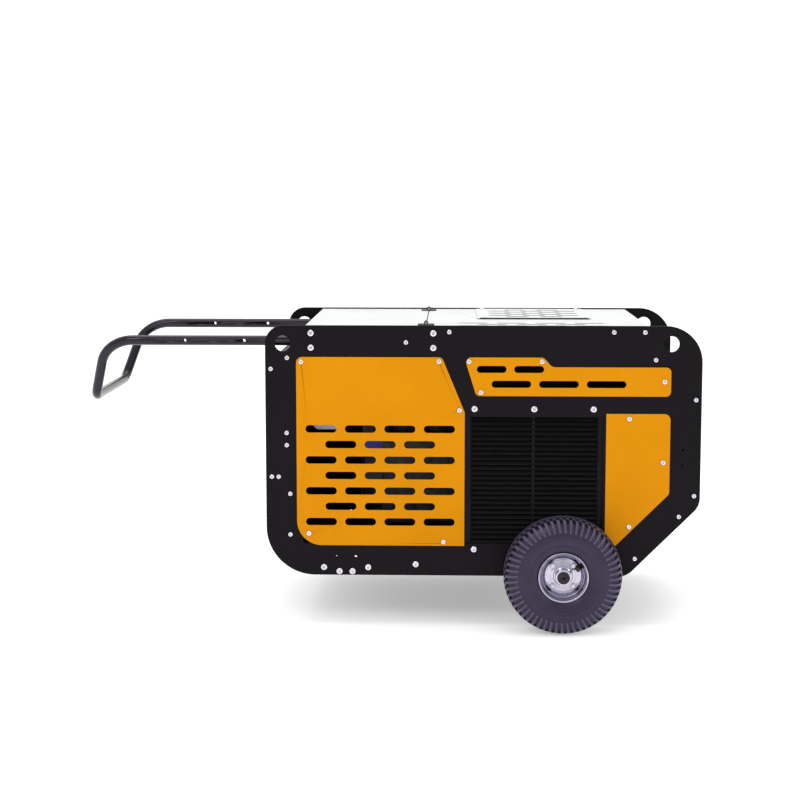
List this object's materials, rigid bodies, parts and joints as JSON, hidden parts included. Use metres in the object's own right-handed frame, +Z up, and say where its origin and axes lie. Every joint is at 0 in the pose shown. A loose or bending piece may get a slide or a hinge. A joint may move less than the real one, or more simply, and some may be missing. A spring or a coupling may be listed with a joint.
{
  "type": "portable generator",
  "caption": "Wheeled portable generator in a slotted sheet-metal case with a pull-out tube handle, hinged lid, folding stand and an engine driving an alternator.",
  "frame": {"origin": "on the floor under the middle of the whole object's box", "axes": "+Z up, +X from the handle end to the wheel end, -Y towards the front side plate"},
  "size_m": [1.3674, 0.783, 0.676],
  "materials": {
    "black_paint": "semi-gloss black powder coat",
    "grille_paint": "satin black paint",
    "yellow_paint": "semi-gloss amber powder coat",
    "cover_paint": "satin light grey paint",
    "hinge_black": "black-coated steel hinge",
    "handle_gloss": "glossy black paint",
    "tyre": "black tyre rubber",
    "rim_zinc": "bright zinc-plated pressed steel",
    "fastener_zinc": "bright zinc plate",
    "steel": "ground steel",
    "cast_aluminium": "as-cast aluminium",
    "blower_blue": "moulded blue shroud",
    "tank_white": "translucent white moulded tank",
    "black_rubber": "matt black rubber",
    "black_plastic": "moulded black plastic",
    "panel_grey": "anodised grey panel",
    "socket_blue": "moulded blue socket",
    "cover_grey": "moulded grey cover",
    "key_zinc": "chromed lock barrel",
    "stop_red": "moulded red plastic"
  },
  "bodies": {
    "case": {"side_plate_front": "black_paint", "side_plate_rear": "black_paint", "handle_end_cover": "black_paint", "wheel_end_cover": "black_paint", "belly_pan": "black_paint", "cross_members": "black_paint", "handle_clamps": "black_paint", "stand_brackets": "black_paint", "muffler": "black_paint", "louvre_grille_front": "grille_paint", "louvre_grille_rear": "grille_paint", "engine_panel_front": "yellow_paint", "engine_panel_rear": "yellow_paint", "vent_panel_front": "yellow_paint", "vent_panel_rear": "yellow_paint", "corner_panels": "yellow_paint", "top_cover": "cover_paint", "vent_hatch": "cover_paint", "hinge_leaves_cover": "hinge_black", "bolts_m8": "fastener_zinc", "bolts_m6": "fastener_zinc", "panel_screws": "fastener_zinc", "axle_collars": "fastener_zinc", "axle": "steel", "hinge_pins": "steel", "shaft_bearings": "steel", "exhaust_pipes": "steel", "crankcase": "cast_aluminium", "cylinders": "cast_aluminium", "cylinder_heads": "cast_aluminium", "alternator_housing": "cast_aluminium", "blower_housing": "blower_blue", "fuel_tank": "tank_white", "filler_neck": "tank_white", "engine_mounts": "black_rubber", "air_cleaner": "black_plastic", "battery": "black_plastic", "instruments": "black_plastic", "control_panel": "panel_grey", "sockets": "socket_blue"},
    "wheel_front": {"tyre_front": "tyre", "rim_front": "rim_zinc", "wheel_bearings_front": "steel"},
    "wheel_rear": {"tyre_rear": "tyre", "rim_rear": "rim_zinc", "wheel_bearings_rear": "steel"},
    "handle": {"handle_tube": "handle_gloss"},
    "lid": {"lid": "cover_paint", "lid_seal": "black_rubber", "hinge_leaves_lid": "hinge_black"},
    "filler_cap": {"fuel_cap": "black_plastic"},
    "stand": {"stand_leg": "black_paint", "stand_feet": "black_rubber"},
    "shaft": {"crankshaft": "steel", "flywheel_fan": "cast_aluminium", "rotor": "steel"},
    "breaker": {"breaker_lever": "black_plastic"},
    "key": {"key_switch": "key_zinc"},
    "stop_button": {"emergency_stop": "stop_red"},
    "socket_door": {"socket_cover": "cover_grey"}
  },
  "joints": [
    {"name": "wheel_front_spin", "type": "hinge", "parent": "case", "child": "wheel_front", "pos_m": [0.38025, -0.35, 0.13], "axis": [0, 1, 0], "continuous": true},
    {"name": "wheel_rear_spin", "type": "hinge", "parent": "case", "child": "wheel_rear", "pos_m": [0.38025, 0.35, 0.13], "axis": [0, 1, 0], "continuous": true},
    {"name": "handle_slide", "type": "slide", "parent": "case", "child": "handle", "axis": [1, 0, 0], "range_m": [0, 0.36]},
    {"name": "lid_hinge", "type": "hinge", "parent": "case", "child": "lid", "pos_m": [0.07875, 0, 0.6715], "axis": [0, 1, 0], "range_deg": [0, 100]},
    {"name": "filler_cap_turn", "type": "hinge", "parent": "case", "child": "filler_cap", "pos_m": [-0.06425, 0, 0.6287], "axis": [0, 0, 1], "range_deg": [0, 90]},
    {"name": "stand_fold", "type": "hinge", "parent": "case", "child": "stand", "pos_m": [-0.09725, 0, 0.1323], "axis": [0, 1, 0], "range_deg": [0, 90]},
    {"name": "shaft_spin", "type": "hinge", "parent": "case", "child": "shaft", "pos_m": [0.15575, 0, 0.3027], "axis": [1, 0, 0], "continuous": true},
    {"name": "breaker_toggle", "type": "hinge", "parent": "case", "child": "breaker", "pos_m": [-0.26725, -0.13, 0.5327], "axis": [0, 1, 0], "range_deg": [-18, 18]},
    {"name": "key_turn", "type": "hinge", "parent": "case", "child": "key", "pos_m": [-0.26925, 0.095, 0.5377], "axis": [1, 0, 0], "range_deg": [0, 90]},
    {"name": "stop_push", "type": "slide", "parent": "case", "child": "stop_button", "axis": [1, 0, 0], "range_m": [0, 0.006], "stiffness_N_per_m": 600, "springref_m": -0.004},
    {"name": "socket_door_swing", "type": "hinge", "parent": "case", "child": "socket_door", "pos_m": [-0.27825, 0, 0.4527], "axis": [0, 1, 0], "range_deg": [0, 100], "stiffness_Nm_per_rad": 0.3, "springref_deg": -34.38}
  ]
}
